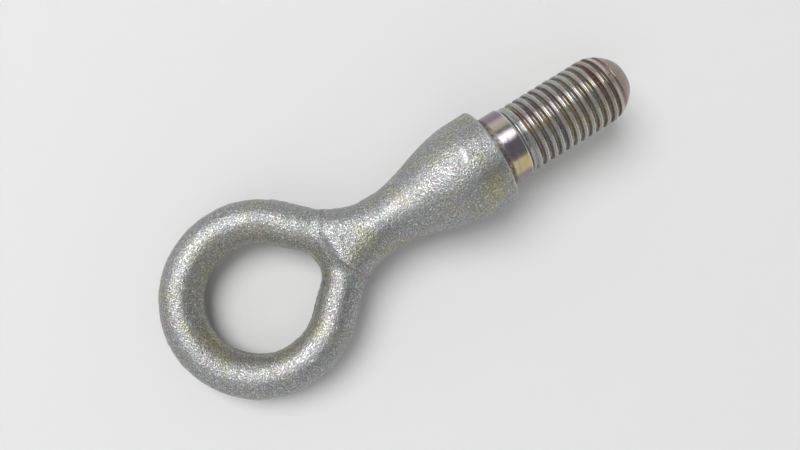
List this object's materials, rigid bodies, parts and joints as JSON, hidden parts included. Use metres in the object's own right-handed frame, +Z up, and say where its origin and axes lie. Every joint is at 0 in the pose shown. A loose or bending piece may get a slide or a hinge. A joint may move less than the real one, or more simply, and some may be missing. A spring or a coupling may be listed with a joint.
{
  "type": "tow eye",
  "caption": "Screw-in tow eye for a car: a drop-shaped round-bar eye on a round shank with a wide collar, a plain neck and a coarse rolled thread.",
  "frame": {"origin": "on the table under the middle of the part's bounding box", "axes": "+X along the part's length towards the screw's tip, in the table's plane; +Y across the eye; +Z up. The screw's own axis is tipped up from +X by the small angle at which the part rests on its eye and its collar."},
  "size_m": [0.143, 0.0534, 0.0286],
  "materials": {
    "forged_steel": "blasted forged skin with a thin zinc and yellow passivate coat, turned neck and rolled thread"
  },
  "bodies": {
    "root": {"tow_eye": "forged_steel"}
  },
  "joints": []
}
